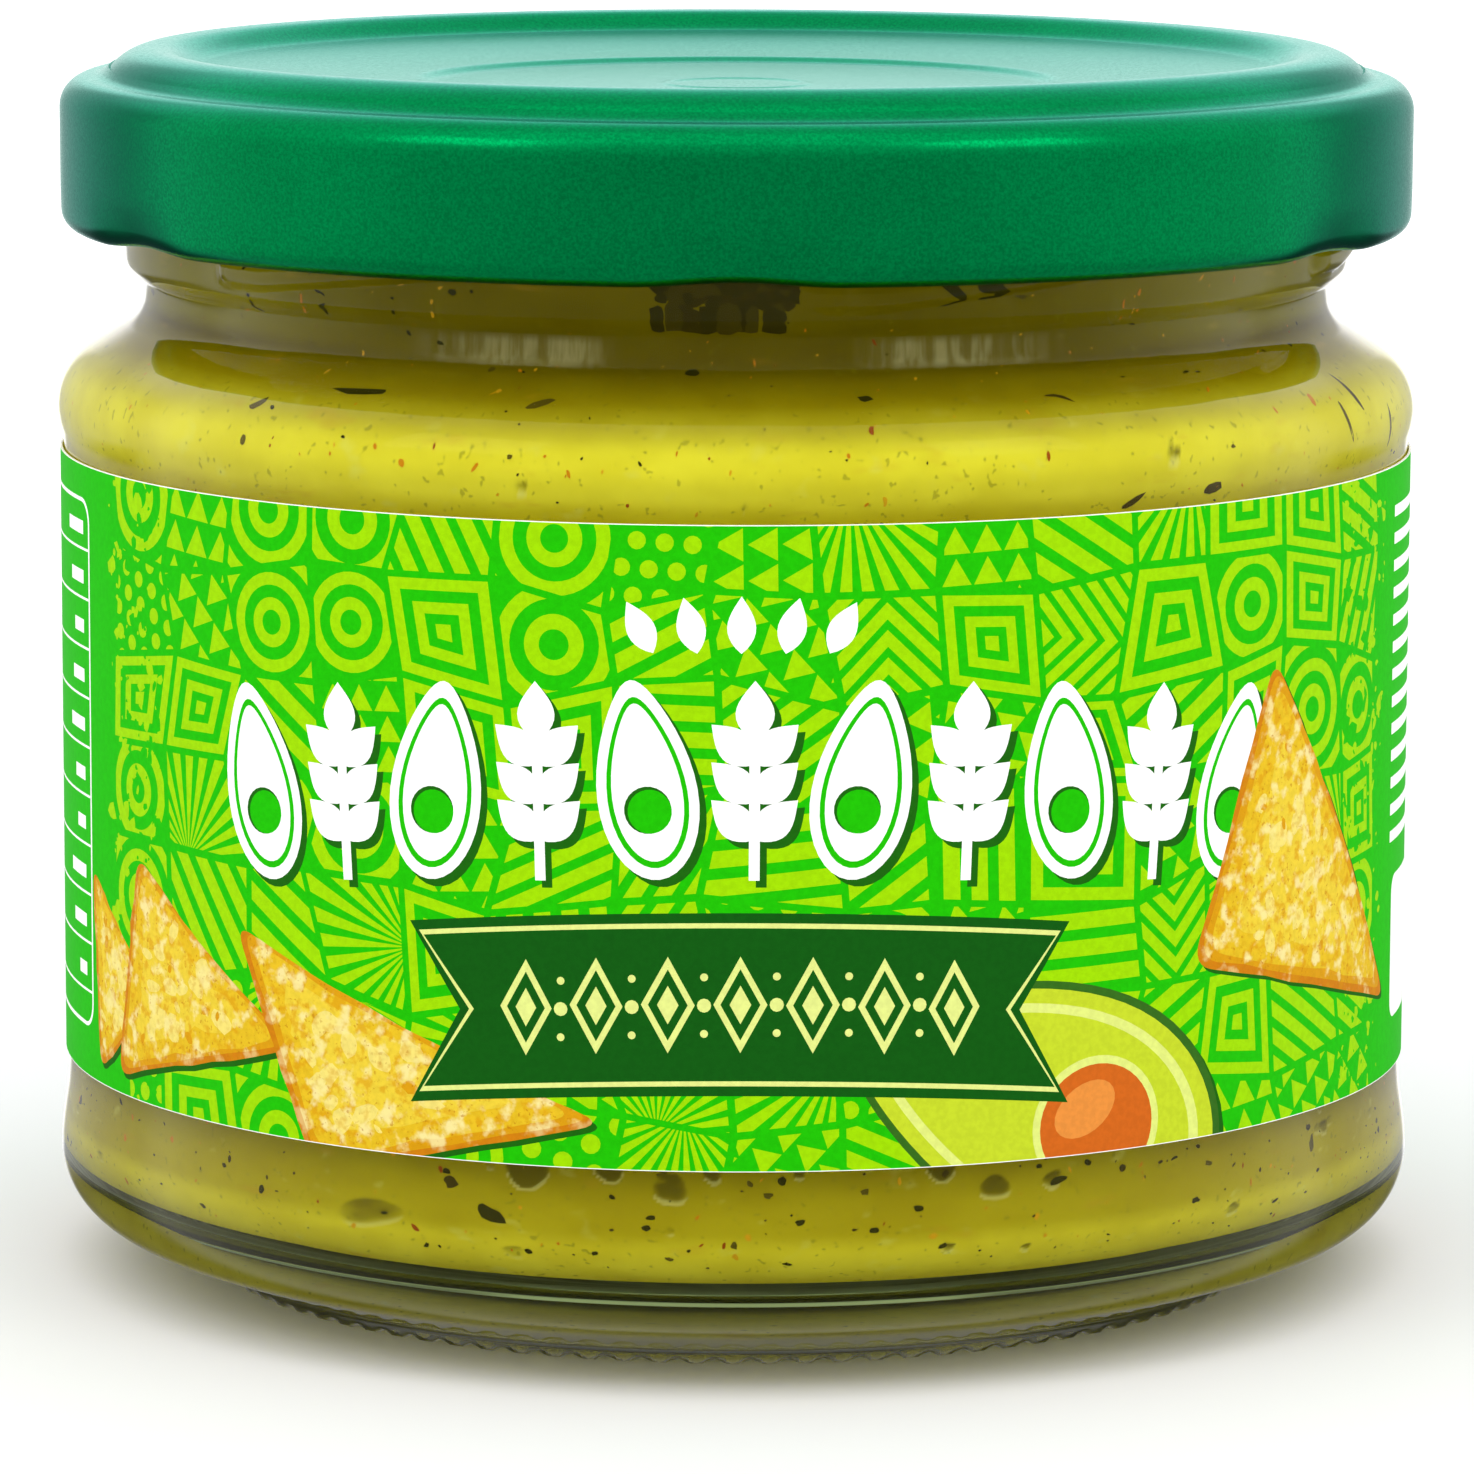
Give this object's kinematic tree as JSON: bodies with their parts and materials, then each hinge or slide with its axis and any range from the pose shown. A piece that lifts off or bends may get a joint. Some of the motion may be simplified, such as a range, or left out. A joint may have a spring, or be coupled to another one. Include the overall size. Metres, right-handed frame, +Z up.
{
  "type": "jar of guacamole dip",
  "caption": "Low, wide glass jar full of green-yellow guacamole dip, shut with a green twist-off metal lid and wrapped in a green printed paper label with no lettering.",
  "frame": {"origin": "on the jar's axis, in the plane that its foot stands on", "axes": "+Z up along the jar's axis; the label's front faces -Y"},
  "size_m": [0.0866, 0.0866, 0.0776],
  "materials": {
    "jar_glass": "clear glass with a faint green tint, smooth and glossy",
    "dip": null,
    "lid": "green lacquered tinplate with a fine dark grain, satin gloss",
    "label": "coated paper printed in bright greens, semi-gloss, bare white edges"
  },
  "bodies": {
    "root": {"jar_glass": "jar_glass", "dip": "dip", "lid": "lid", "label": "label"}
  },
  "joints": []
}
